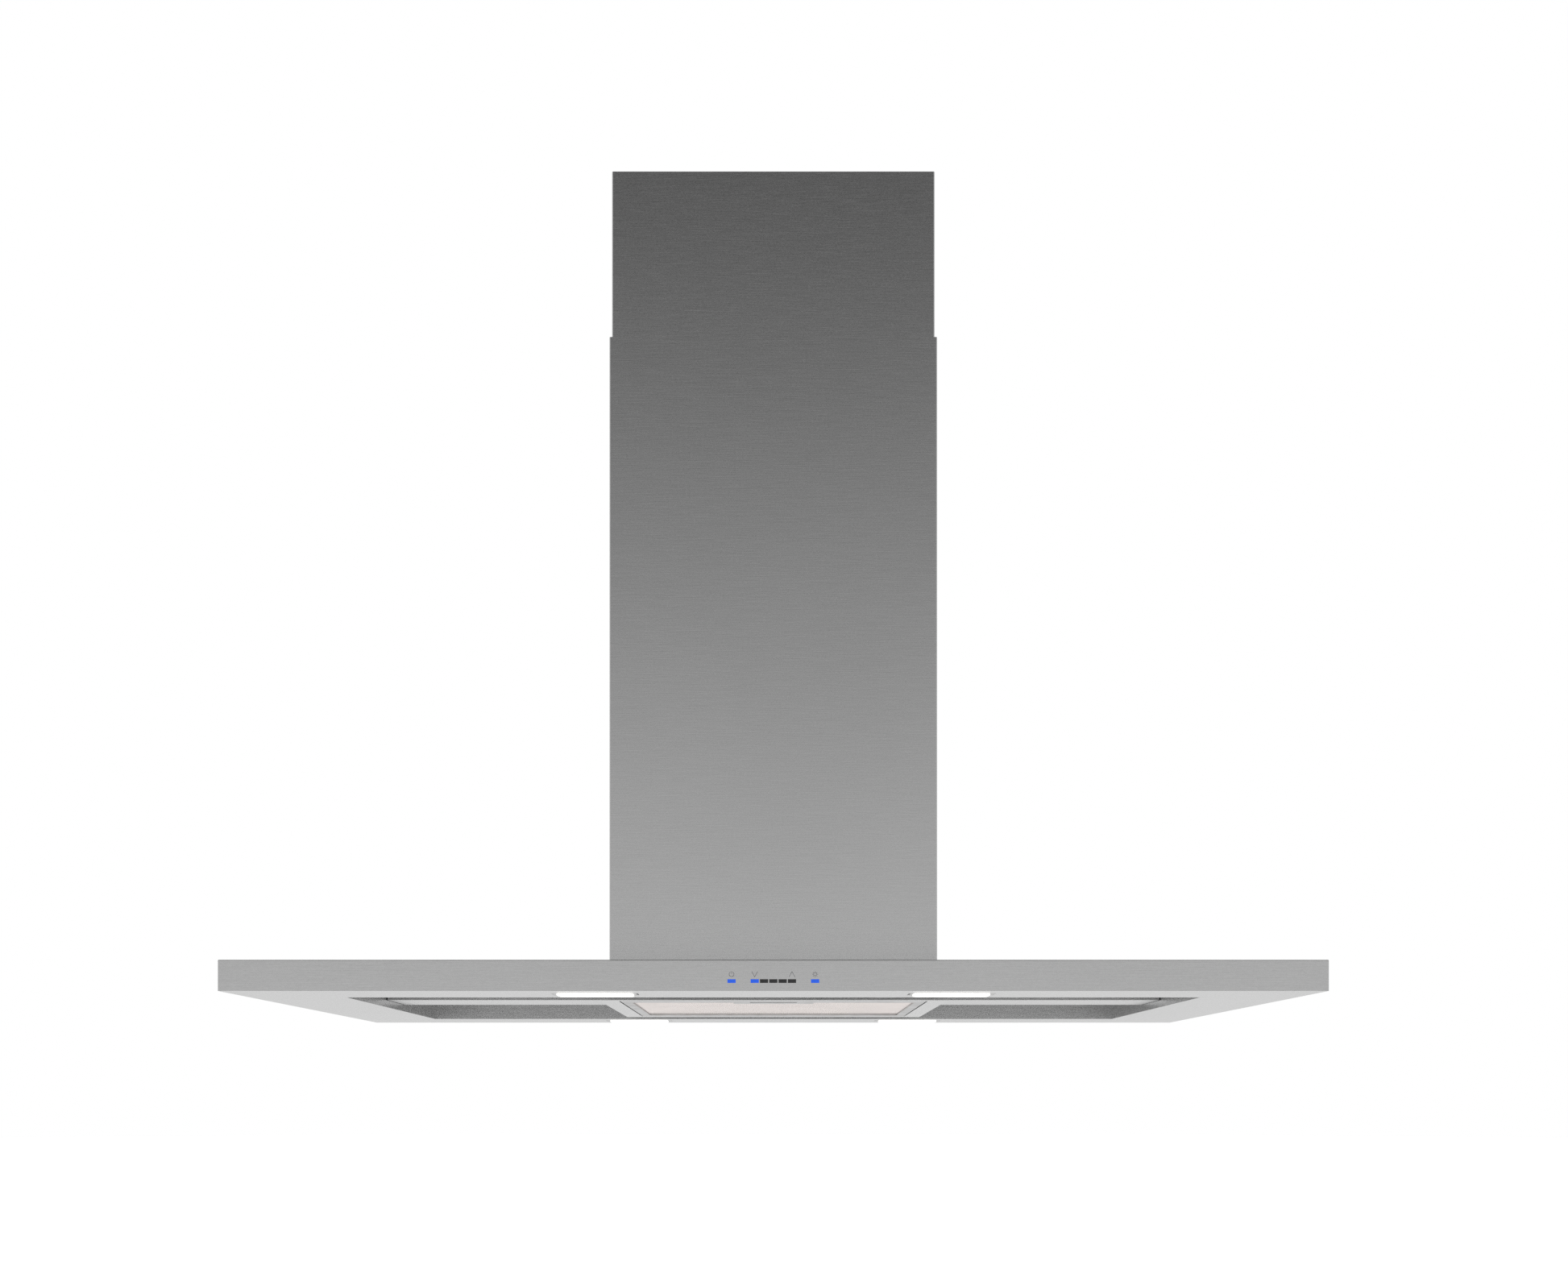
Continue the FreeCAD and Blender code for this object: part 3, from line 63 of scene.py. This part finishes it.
class Link:
    """A socket of a node graph. Sums with it add Math nodes."""

    def __init__(self, graph, socket):
        self.graph = graph
        self.socket = socket

    def math(self, operation, *others):
        return self.graph.node("ShaderNodeMath", {"operation": operation}, self, *others)

    def __add__(self, other):
        return self.math("ADD", other)

    def __sub__(self, other):
        return self.math("SUBTRACT", other)

    def __mul__(self, other):
        return self.math("MULTIPLY", other)

    def __radd__(self, other):
        return self.math("ADD", other)

    def __rmul__(self, other):
        return self.math("MULTIPLY", other)

    def __rsub__(self, other):
        return self.graph.node("ShaderNodeMath", {"operation": "SUBTRACT"}, other, self)


class Graph:
    """A node tree with one method for every kind of node."""

    def __init__(self, tree):
        self.tree = tree
        tree.nodes.clear()

    def node(self, kind, settings=None, *values, output=0, **named):
        """Adds a node, sets it up, then feeds its sockets with values or links, by order or by name."""
        made = self.tree.nodes.new(kind)
        for key, setting in (settings or {}).items():
            if key == "stops":
                fill_ramp(made.color_ramp, setting)
            else:
                setattr(made, key, setting)
        for socket, given in enumerate(values):
            self.feed(made.inputs[socket], given)
        for name, given in named.items():
            self.feed(made.inputs[name.replace("_", " ")], given)
        return Link(self, made.outputs[output]) if len(made.outputs) else made

    def feed(self, socket, given):
        if given is None:
            return
        if isinstance(given, Link):
            self.tree.links.new(given.socket, socket)
        else:
            socket.default_value = given

    def blend(self, factor, first, second):
        """A colour between two, by a factor."""
        return self.node("ShaderNodeMix", {"data_type": "RGBA"}, factor, *[None] * 5, first, second, output=2)

    def part(self, vector, axis):
        """One coordinate of a vector."""
        return self.node("ShaderNodeSeparateXYZ", None, vector, output=axis)

    def steps(self, value, low, high, to_low=0.0, to_high=1.0):
        """Carries a value from one range to another and holds it there."""
        return self.node("ShaderNodeMapRange", {"clamp": True}, value, low, high, to_low, to_high)


def fill_ramp(ramp, stops):
    """Sets a ramp's stops, each a position and a grey or a colour."""
    while len(ramp.elements) < len(stops):
        ramp.elements.new(1.0)
    for element, (position, tone) in zip(ramp.elements, stops):
        element.position = position
        element.color = tone if isinstance(tone, tuple) else (tone, tone, tone, 1)


def grey(tone, warm=0.0):
    """A grey, a little warmer or cooler."""
    return (tone * (1 + warm), tone, tone * (1 - warm), 1)


# ---------------------------------------------------------------- finishes

class Finish(Graph):
    """A material on one Principled shader, with helpers for patterns in the object's own space."""

    def __init__(self, name, color, metallic=0.0, roughness=0.5, **constants):
        self.material = bpy.data.materials.new(name)
        self.material.use_nodes = True
        super().__init__(self.material.node_tree)
        self.shader = self.node("ShaderNodeBsdfPrincipled")
        self.node("ShaderNodeOutputMaterial", Surface=self.shader)
        self.set("Base Color", color)
        self.set("Metallic", metallic)
        self.set("Roughness", roughness)
        for constant, number in constants.items():
            self.set(constant.replace("_", " "), number)
        self.space = self.node("ShaderNodeTexCoord", output="Object")

    def set(self, socket, given):
        self.feed(self.shader.socket.node.inputs[socket], given)

    def noise(self, vector, scale=1.0, detail=2.0, rough=0.5):
        return self.node("ShaderNodeTexNoise", None, Vector=vector, Scale=scale, Detail=detail,
                         Roughness=rough)

    def bump(self, height, strength, distance):
        self.set("Normal", self.node("ShaderNodeBump", None, Strength=strength, Distance=distance,
                                     Height=height))


def sheet_grain(finish, fine, coarse):
    """A brushed grain that runs level on upright faces and along X on flat ones."""
    normal = finish.node("ShaderNodeTexCoord", output="Normal")
    flat = finish.part(normal, "Z").math("ABSOLUTE").math("GREATER_THAN", 0.7)
    x = finish.part(finish.space, "X") * coarse
    y = finish.part(finish.space, "Y") * (flat * (fine - coarse) + coarse)
    z = finish.part(finish.space, "Z") * fine
    return finish.node("ShaderNodeCombineXYZ", None, x, y, z)


def brushed_steel(name, tone, roughness, contrast=0.08, warm=0.0, groove=0.03):
    """Sheet with fine level grooves, a speckle between them, and faint cloudy patches."""
    finish = Finish(name, grey(tone, warm), metallic=1.0)
    lines = finish.noise(sheet_grain(finish, 1500.0, 45.0), detail=3.0, rough=0.6)
    speckle = finish.noise(sheet_grain(finish, 900.0, 350.0), detail=2.0, rough=0.65)
    grooves = finish.noise(sheet_grain(finish, 4200.0, 30.0), detail=2.0)
    clouds = finish.noise(finish.space, scale=5.0, detail=2.0)
    grain = lines * 0.45 + speckle * 0.55
    lift = (grain - 0.5) * contrast * 6.0 + (clouds - 0.5) * 0.06 + 1.0
    color = finish.node("ShaderNodeVectorMath", {"operation": "SCALE"},
                        tuple(grey(tone, warm)[:3]), Scale=lift)
    finish.set("Base Color", color)
    finish.set("Roughness", finish.steps(grain, 0.3, 0.7, roughness - 0.04, roughness + 0.05))
    finish.bump(grooves + grain * 0.3, 1.0, groove * MM)
    return finish.material


def zinc_sheet(name, tone, roughness):
    """Galvanised steel with its flat crystals."""
    finish = Finish(name, grey(tone), metallic=1.0)
    crystal = finish.node("ShaderNodeTexVoronoi", output="Color", Vector=finish.space, Scale=90.0)
    patch = finish.part(crystal, "X")
    finish.set("Base Color", finish.blend(patch, grey(tone * 0.78, -0.02), grey(tone * 1.12, -0.01)))
    finish.set("Roughness", finish.steps(patch, 0.0, 1.0, roughness - 0.08, roughness + 0.12))
    finish.bump(finish.noise(finish.space, scale=700.0), 0.08, 0.02 * MM)
    return finish.material


def satin_metal(name, tone, roughness, warm=0.0, pits=0.05):
    """Plain plated or rolled metal with a little tarnish."""
    finish = Finish(name, grey(tone, warm), metallic=1.0)
    film = finish.noise(finish.space, scale=60.0, detail=4.0)
    fine = finish.noise(finish.space, scale=1400.0, detail=2.0)
    finish.set("Base Color", finish.blend(finish.steps(film, 0.35, 0.7), grey(tone, warm),
                                          grey(tone * 0.84, warm + 0.01)))
    dull = finish.steps(film + (fine - 0.5) * 0.4, 0.3, 0.8, roughness - 0.04, roughness + 0.1)
    finish.set("Roughness", dull)
    finish.bump(fine, pits, 0.02 * MM)
    return finish.material


def moulded(name, color, roughness, texture=900.0):
    """Moulded plastic with a fine spark-eroded skin."""
    finish = Finish(name, color, roughness=roughness)
    skin = finish.noise(finish.space, scale=texture, detail=3.0)
    dust = finish.noise(finish.space, scale=30.0, detail=4.0)
    lighter = tuple(min(1.0, channel * 1.35 + 0.012) for channel in color[:3]) + (1,)
    finish.set("Base Color", finish.blend(finish.steps(dust, 0.4, 0.75), color, lighter))
    finish.set("Roughness", finish.steps(skin, 0.3, 0.7, roughness - 0.08, roughness + 0.1))
    finish.bump(skin, 0.25, 0.04 * MM)
    return finish.material


def lit(name, color, strength, edge=0.85, body=0.3):
    """A diffuser with a light behind it, a shade weaker in faint patches."""
    finish = Finish(name, tuple(channel * body for channel in color[:3]) + (1,), roughness=0.35)
    patches = finish.steps(finish.noise(finish.space, scale=120.0), 0.3, 0.7)
    dimmer = tuple(channel * edge for channel in color[:3]) + (1,)
    finish.set("Emission Color", finish.blend(patches, dimmer, color))
    finish.set("Emission Strength", strength)
    finish.bump(finish.noise(finish.space, scale=2500.0), 0.1, 0.01 * MM)
    return finish.material


def dark_window(name):
    """Smoked plastic, dark while its light is off."""
    finish = Finish(name, (0.012, 0.012, 0.013, 1), roughness=0.22)
    smears = finish.steps(finish.noise(finish.space, scale=260.0, detail=3.0), 0.35, 0.7)
    finish.set("Base Color", finish.blend(smears, (0.009, 0.009, 0.010, 1), (0.020, 0.020, 0.021, 1)))
    finish.set("Roughness", finish.steps(smears, 0.0, 1.0, 0.18, 0.32))
    return finish.material


def circuit_board(name):
    """Green solder mask with copper tracks showing through as paler lines."""
    finish = Finish(name, (0.02, 0.13, 0.06, 1), roughness=0.35)
    line = finish.node("ShaderNodeTexBrick", output="Fac", Vector=finish.space, Scale=220.0,
                       Mortar_Size=0.03)
    finish.set("Base Color", finish.blend(line, (0.02, 0.13, 0.06, 1), (0.05, 0.24, 0.11, 1)))
    finish.set("Roughness", finish.steps(line, 0.0, 1.0, 0.38, 0.3))
    return finish.material


FINISHES = {
    "stainless_sheet": brushed_steel("brushed_stainless", 0.56, 0.26, groove=0.035),
    "galvanised_steel": zinc_sheet("galvanised_sheet", 0.60, 0.42),
    "filter_aluminium": satin_metal("filter_frame_steel", 0.56, 0.36),
    "mesh_aluminium": satin_metal("mesh_aluminium", 0.80, 0.40, warm=0.02),
    "latch_steel": brushed_steel("latch_steel", 0.50, 0.34),
    "pin_steel": satin_metal("polished_pin", 0.66, 0.22),
    "zinc_fastener": satin_metal("zinc_plate", 0.62, 0.30, warm=-0.01),
    "lamp_metal": satin_metal("lamp_ring", 0.55, 0.32),
    "lamp_diffuser": lit("lamp_diffuser", (1.0, 0.98, 0.95, 1), 1.5, edge=0.96),
    "blue_window": lit("blue_window", (0.010, 0.10, 0.72, 1), 0.85),
    "dark_window": dark_window("dark_window"),
    "circuit_board": circuit_board("circuit_board"),
    "black_plastic": moulded("black_moulding", (0.022, 0.022, 0.024, 1), 0.48),
    "motor_enamel": moulded("motor_enamel", (0.05, 0.05, 0.055, 1), 0.38, texture=1500.0),
    "capacitor_case": moulded("capacitor_case", (0.62, 0.60, 0.54, 1), 0.45),
}


def paint_frame():
    """Gives every carried-over node the finish of its material slot."""
    slots = {row["node"]: row["material_slot"] for row in frame["record"]["subparts"]}
    for name, piece in frame["nodes"].items():
        piece.data.materials.clear()
        piece.data.materials.append(FINISHES[slots[name]])


paint_frame()

# ---------------------------------------------------------------- pieces made here

def finished(name, shape, finish, body, stands_for=()):
    """Turns a shape into a named piece that rides on a body."""
    bmesh.ops.recalc_face_normals(shape, faces=shape.faces)
    mesh = bpy.data.meshes.new(name)
    shape.to_mesh(mesh)
    shape.free()
    piece = bpy.data.objects.new(name, mesh)
    bpy.context.collection.objects.link(piece)
    mesh.materials.append(finish)
    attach(piece, body)
    if stands_for:
        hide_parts(*stands_for)
    return piece


SCREEN_PITCH = 2.3 * MM
SCREEN_RIDGE = 0.9 * MM
SCREEN_SHEET = 0.25 * MM
SCREEN_DEPTH = 2.0 * MM     # from the filter's lower face up to the screen's ridges
TAB_WIDTH = 86 * MM
TAB_DEPTH = 20 * MM
TAB_GAP = 0.1 * MM
ROW_REACH = 1 * MM          # how near a point lies to the screen's middle row


def screen_finish():
    """Expanded aluminium foil, slightly warm, with its small diamond openings painted darker as painted
    shade.
    """
    finish = Finish("filter_foil", (0.70, 0.64, 0.61, 1), metallic=0.45, roughness=0.42)
    across = finish.part(finish.space, "X") * (2 * math.pi / SCREEN_PITCH)
    along = finish.part(finish.space, "Y") * (2 * math.pi / (1.5 * SCREEN_PITCH))
    diamonds = across.math("COSINE") + along.math("COSINE")
    # Painted shade: the diamond openings get a darker colour for the shade seen through them, and a higher
    # roughness.
    opening_shade = finish.steps(diamonds, 0.9, 1.35)
    film = finish.noise(finish.space, scale=25.0, detail=4.0)
    metal = finish.blend(finish.steps(film, 0.35, 0.7), (0.74, 0.68, 0.655, 1), (0.68, 0.625, 0.60, 1))
    finish.set("Base Color", finish.blend(opening_shade, metal, (0.60, 0.54, 0.52, 1)))
    finish.set("Roughness", finish.steps(opening_shade, 0.0, 1.0, 0.40, 0.62))
    finish.bump(finish.steps(diamonds, -1.0, 1.6), 0.5, -0.15 * MM)
    return finish.material


def make_screen():
    """The filter's fine corrugated screen, with a step round the latch's tab."""
    low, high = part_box("filter_mesh")
    frame_low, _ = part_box("filter_frame")
    tab_half = TAB_WIDTH / 2 + TAB_GAP
    tab_rear = low.y + TAB_DEPTH
    columns = 2 * round((high.x - low.x) / SCREEN_PITCH)
    shape = bmesh.new()
    bmesh.ops.create_grid(shape, x_segments=columns, y_segments=2, size=0.5)
    bmesh.ops.scale(shape, vec=(high.x - low.x, high.y - low.y, 1), verts=shape.verts)
    bmesh.ops.translate(shape, vec=((low.x + high.x) / 2, (low.y + high.y) / 2, 0), verts=shape.verts)
    step = (high.x - low.x) / columns
    level = frame_low.z + SCREEN_DEPTH
    middle = (low.y + high.y) / 2
    for vert in shape.verts:
        column = round((vert.co.x - low.x) / step)
        vert.co.z = level + (column % 2) * SCREEN_RIDGE
        if abs(vert.co.y - middle) < ROW_REACH:
            vert.co.y = tab_rear
    covered = [face for face in shape.faces if abs(face.calc_center_median().x) < tab_half
               and face.calc_center_median().y < tab_rear]
    bmesh.ops.delete(shape, geom=covered, context="FACES")
    bmesh.ops.solidify(shape, geom=shape.faces, thickness=SCREEN_SHEET)
    finished("filter_screen", shape, screen_finish(), "filter", ("filter_mesh",))


SLIT_SHADE_SIZE = (1.8 * MM, 14 * MM, 0.3 * MM)
SLIT_SHADE_GAP = 4.2 * MM


def make_slit_shade():
    """Painted shade for the slits in the borders beside the inner ends of the two front lamps: flat black
    boxes on the rim.
    """
    low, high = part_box("lamp_lens_front_left")
    shape = bmesh.new()
    # Each flat black box is painted shade, standing in for the shaded inside of a slit.
    for side in (-1, 1):
        shade_box = bmesh.ops.create_cube(shape, size=1.0)["verts"]
        bmesh.ops.scale(shape, vec=SLIT_SHADE_SIZE, verts=shade_box)
        place = (side * (high.x + SLIT_SHADE_GAP), (low.y + high.y) / 2, RIM)
        bmesh.ops.translate(shape, vec=place, verts=shade_box)
    finished("lamp_slit_shade", shape, FINISHES["black_plastic"], "hood")


SPRING_WIRE = 0.25 * MM
SPRING_RADIUS = 1.2 * MM
SPRING_PITCH = 1.6 * MM
SPRING_APART = 20 * MM
COIL_STEPS = 28
WIRE_SIDES = 10


def make_springs():
    """The two coils behind the latch. The share they would shorten to as it slides back is worked out but not
    used.
    """
    low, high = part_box("latch_springs")
    level = (low.z + high.z) / 2
    length = high.y - low.y
    travel = next(joint["range_m"][1] for joint in frame["record"]["behaviour"]["joints"]
                  if joint["name"] == "latch_slide")
    turns = (length - 2 * SPRING_WIRE) / SPRING_PITCH
    steps = round(turns * COIL_STEPS)
    shape = bmesh.new()
    for side in (-1, 1):
        middle = Vector((side * SPRING_APART, low.y + SPRING_WIRE, level))
        ring = bmesh.ops.create_circle(shape, segments=WIRE_SIDES, radius=SPRING_WIRE)["verts"]
        bmesh.ops.translate(shape, vec=middle + Vector((SPRING_RADIUS, 0, 0)), verts=ring)
        edges = [edge for edge in shape.edges if edge.verts[0] in ring]
        bmesh.ops.spin(shape, geom=ring + edges, cent=middle, axis=(0, 1, 0), steps=steps,
                       dvec=(0, turns * SPRING_PITCH / steps, 0), angle=turns * 2 * math.pi)
    bmesh.ops.holes_fill(shape, edges=[edge for edge in shape.edges if edge.is_boundary])
    for face in shape.faces:
        face.smooth = True
    coils = finished("latch_coils", shape, FINISHES["pin_steel"], "filter",
                     stands_for=("latch_springs",))
    (length - travel) / length
    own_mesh(coils)


SIGN_PROUD = 0.08 * MM
SIGN_LINE = 0.42 * MM
SIGN_RISE = 6.6 * MM        # a sign's middle above its window's


def sign_bar(shape, start, end):
    """A straight stroke of a sign, between two points of the front face."""
    run = end - start
    turn = Matrix.Rotation(-math.atan2(run.z, run.x), 4, "Y")
    size = Matrix.Diagonal((run.length, SIGN_PROUD, SIGN_LINE, 1))
    bmesh.ops.create_cube(shape, size=1.0, matrix=Matrix.Translation((start + end) / 2) @ turn @ size)


def sign_arc(shape, middle, radius, start, sweep):
    """A round stroke of a sign, from an angle and through another."""
    size = Matrix.Diagonal((SIGN_LINE, SIGN_PROUD, 1, 1))
    stroke = bmesh.ops.create_grid(shape, x_segments=1, y_segments=1, size=0.5,
                                   matrix=Matrix.Translation(middle + Vector((radius, 0, 0))) @ size)
    around = Vector((0, -1, 0))
    bmesh.ops.rotate(shape, cent=middle, matrix=Matrix.Rotation(start, 3, around), verts=stroke["verts"])
    faces = list({face for vert in stroke["verts"] for face in vert.link_faces})
    geom = faces + [edge for face in faces for edge in face.edges] + stroke["verts"]
    closed = abs(sweep) > 2 * math.pi - 1e-6
    bmesh.ops.spin(shape, geom=geom, cent=middle, axis=around, dvec=(0, 0, 0), angle=sweep,
                   steps=36, use_merge=closed, use_duplicate=False)


def make_signs():
    """Generic signs over the windows: on and off, slower, faster, and the lamps."""
    front = FRONT - SIGN_PROUD / 2
    shape = bmesh.new()

    def over(window, across=0.0):
        low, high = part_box(window)
        return Vector(((low.x + high.x) / 2 + across, front, (low.z + high.z) / 2 + SIGN_RISE))

    power = over("indicator_power")
    sign_arc(shape, power, 2.3 * MM, math.radians(115), math.radians(310))
    sign_bar(shape, power + Vector((0, 0, 0.4 * MM)), power + Vector((0, 0, 3.0 * MM)))
    for window, up in (("indicator_speed_1", -1), ("indicator_speed_5", 1)):
        tip = over(window) + Vector((0, 0, up * 2.6 * MM))
        for side in (-1, 1):
            sign_bar(shape, tip, tip + Vector((side * 2.8 * MM, 0, -up * 5.2 * MM)))
    lamp = over("indicator_light")
    sign_arc(shape, lamp, 1.45 * MM, 0.0, 2 * math.pi)
    for ray in range(8):
        way = Vector((math.cos(ray * math.pi / 4), 0, math.sin(ray * math.pi / 4)))
        sign_bar(shape, lamp + way * 2.0 * MM, lamp + way * 2.9 * MM)
    finish = Finish("etched_sign", (0.16, 0.16, 0.17, 1), metallic=0.6, roughness=0.6)
    wear = finish.steps(finish.noise(finish.space, scale=900.0), 0.3, 0.7)
    finish.set("Base Color", finish.blend(wear, (0.13, 0.13, 0.14, 1), (0.20, 0.20, 0.21, 1)))
    finished("control_signs", shape, finish.material, "hood")


# ---------------------------------------------------------------- camera, light and backdrop

CAMERA_AWAY = 1.572     # from the front face, in metres
CAMERA_BELOW = 0.106    # under the rim
CAMERA_LENS = 37.6      # millimetres, behind a frame of SENSOR_WIDTH
SENSOR_WIDTH = 36.0
SHIFT_RIGHT = 0.0068    # shares of the frame's width
SHIFT_UP = 0.2965
FLOOR_BELOW = 3.2       # under the rim, in metres
FLOOR_RADIUS = 150.0
CAMERA_REACH = 400.0


def make_camera():
    """A level camera a little under the canopy, with its view shifted up the chimney."""
    lens = bpy.data.cameras.new("camera")
    lens.lens = CAMERA_LENS
    lens.sensor_width = SENSOR_WIDTH
    lens.sensor_fit = "HORIZONTAL"
    lens.shift_x = SHIFT_RIGHT
    lens.shift_y = SHIFT_UP
    lens.clip_end = CAMERA_REACH
    camera = bpy.data.objects.new("camera", lens)
    camera.location = (0.0, FRONT - CAMERA_AWAY, RIM - CAMERA_BELOW)
    camera.rotation_euler = (math.radians(90), 0, 0)
    bpy.context.collection.objects.link(camera)
    bpy.context.scene.camera = camera


def make_floor():
    """A plain pale floor, far below the hood."""
    shape = bmesh.new()
    bmesh.ops.create_circle(shape, cap_ends=True, segments=96, radius=FLOOR_RADIUS)
    bmesh.ops.translate(shape, vec=(0, 0, RIM - FLOOR_BELOW), verts=shape.verts)
    mesh = bpy.data.meshes.new("floor")
    shape.to_mesh(mesh)
    shape.free()
    floor = bpy.data.objects.new("floor", mesh)
    bpy.context.collection.objects.link(floor)
    paint = Finish("floor_paint", (0.9, 0.9, 0.9, 1), roughness=0.8)
    paint.set("Emission Color", (1, 1, 1, 1))
    paint.set("Emission Strength", 0.75)
    mesh.materials.append(paint.material)
    floor.visible_glossy = False


# Brightness of the studio by height in degrees, on the control side and all round.
NEAR_LIGHT = [(-90, 0.95), (0, 0.90), (30, 0.06), (90, 0.20)]
FAR_LIGHT = [(-90, 0.95), (0, 0.90), (90, 0.40)]


def make_surroundings():
    """A white room to the camera. To the steel it is a plain soft studio: pale all round, and dimmer
    overhead on the control side."""
    world = bpy.data.worlds.new("studio")
    world.use_nodes = True
    bpy.context.scene.world = world
    sky = Graph(world.node_tree)
    way = sky.node("ShaderNodeTexCoord", output="Generated")
    x, y, z = (sky.part(way, axis) for axis in "XYZ")
    height = sky.steps(z.math("ARCSINE") * (180 / math.pi), -90.0, 90.0)
    near, far = (sky.node("ShaderNodeValToRGB", {"stops": [(at / 180 + 0.5, tone) for at, tone in stops]},
                          height) for stops in (NEAR_LIGHT, FAR_LIGHT))
    turned = (x.math("ARCTAN2", y * -1.0) * (180 / math.pi)).math("ABSOLUTE")
    tone = sky.blend(sky.steps(turned, 60.0, 25.0), far, near)
    light = sky.node("ShaderNodeBackground", None, tone, 1.0)
    white = sky.node("ShaderNodeBackground", None, (1, 1, 1, 1), 1.0)
    seen = sky.node("ShaderNodeLightPath", output="Is Camera Ray")
    both = sky.node("ShaderNodeMixShader", None, seen, light, white)
    sky.node("ShaderNodeOutputWorld", Surface=both)


make_screen()
make_springs()
make_slit_shade()
make_signs()
make_camera()
make_floor()
make_surroundings()
bpy.context.scene.view_settings.view_transform = "Standard"
